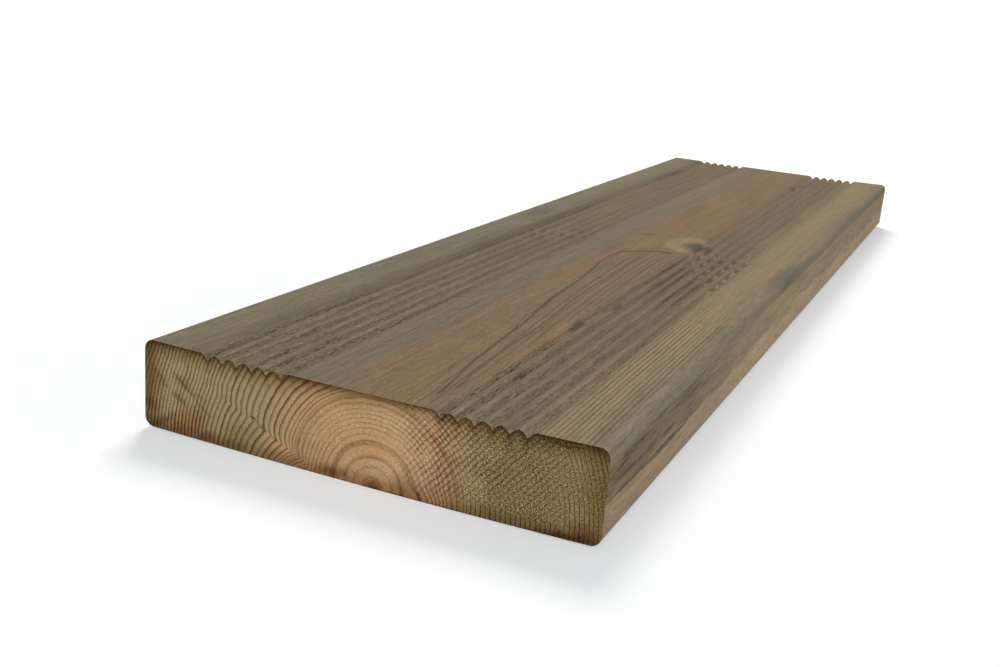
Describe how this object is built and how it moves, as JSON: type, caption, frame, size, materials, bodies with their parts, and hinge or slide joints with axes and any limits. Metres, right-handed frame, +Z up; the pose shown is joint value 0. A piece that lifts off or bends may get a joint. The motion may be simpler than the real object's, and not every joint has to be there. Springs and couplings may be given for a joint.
{
  "type": "grooved softwood decking board",
  "caption": "Short length of treated softwood decking board with two bands of V grooves along its walking face, eased long edges and square sawn ends.",
  "frame": {"origin": "middle of the underside, at the centre of the length and of the width", "axes": "+Y along the grain and the length, +X across the width, +Z up to the grooved walking face"},
  "size_m": [0.145, 0.55, 0.027],
  "materials": {
    "treated_pine": "planed, pressure treated, dull, with sawn ends"
  },
  "bodies": {
    "root": {"decking_board": "treated_pine"}
  },
  "joints": []
}
